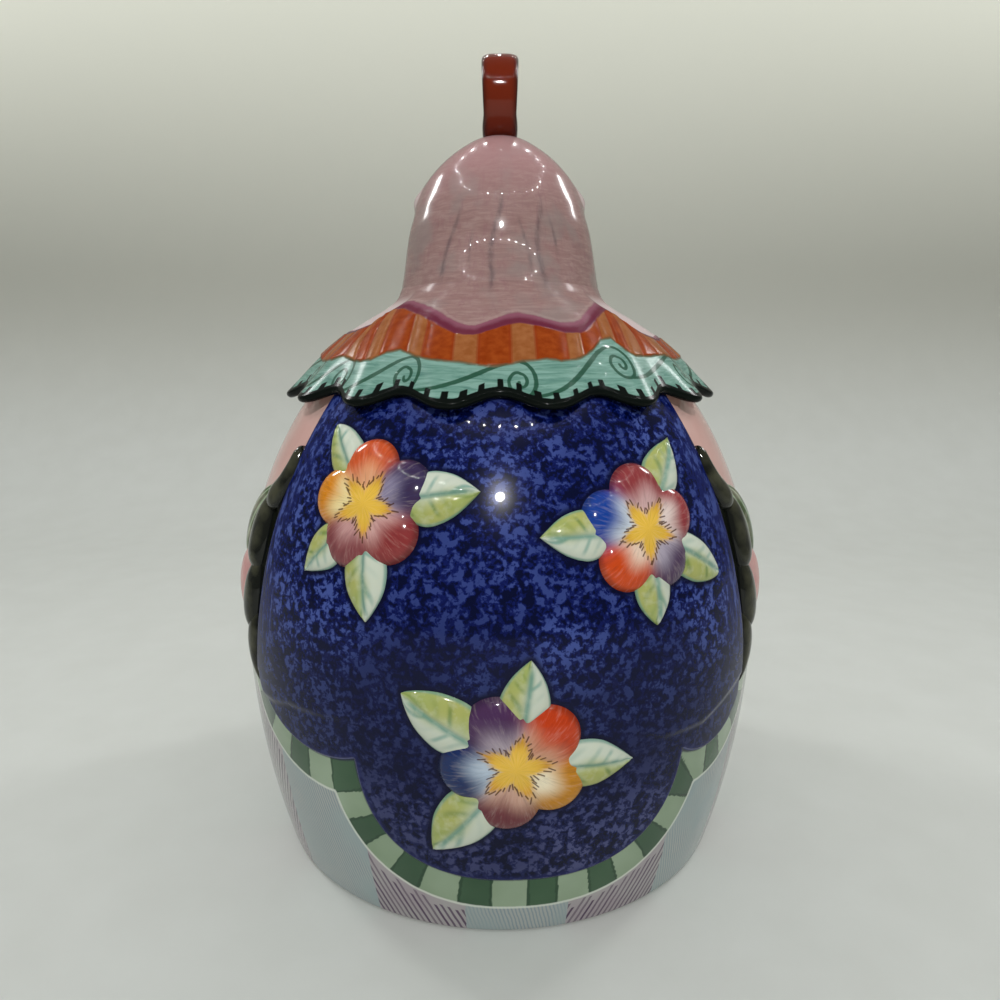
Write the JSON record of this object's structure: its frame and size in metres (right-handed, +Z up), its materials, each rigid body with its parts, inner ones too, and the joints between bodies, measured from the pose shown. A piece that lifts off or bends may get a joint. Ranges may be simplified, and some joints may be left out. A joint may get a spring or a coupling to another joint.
{
  "type": "biscuit jar",
  "caption": "Lidded earthenware biscuit jar: a barrel body with raised flower sprigs and a lift-off hooded lid with a fluted, scalloped skirt and a loop.",
  "frame": {"origin": "middle of the foot ring, on the surface that the jar stands on", "axes": "+Z up along the jar's axis, -Y towards the front, +X to the right as the front is seen"},
  "size_m": [0.206, 0.2168, 0.3],
  "materials": {
    "glaze_body": "glossy hand-painted glaze",
    "glaze_blue": "glossy hand-painted glaze",
    "glaze_petal": "glossy hand-painted glaze",
    "glaze_leaf": "glossy hand-painted glaze",
    "glaze_garland": "glossy hand-painted glaze",
    "glaze_hood": "glossy hand-painted glaze",
    "glaze_skirt": "glossy hand-painted glaze",
    "glaze_loop": "glossy hand-painted glaze"
  },
  "bodies": {
    "jar": {"jar_body": "glaze_body", "field_front": "glaze_blue", "field_back": "glaze_blue", "flowers_front": "glaze_petal", "flowers_back": "glaze_petal", "leaves_front": "glaze_leaf", "leaves_back": "glaze_leaf", "garland_left": "glaze_garland", "garland_right": "glaze_garland"},
    "lid": {"hood": "glaze_hood", "skirt": "glaze_skirt", "seat_ring": "glaze_skirt", "loop": "glaze_loop"}
  },
  "joints": [
    {"name": "lid_lift", "type": "slide", "parent": "jar", "child": "lid", "axis": [0, 0, 1], "range_m": [0, 0.15]}
  ]
}
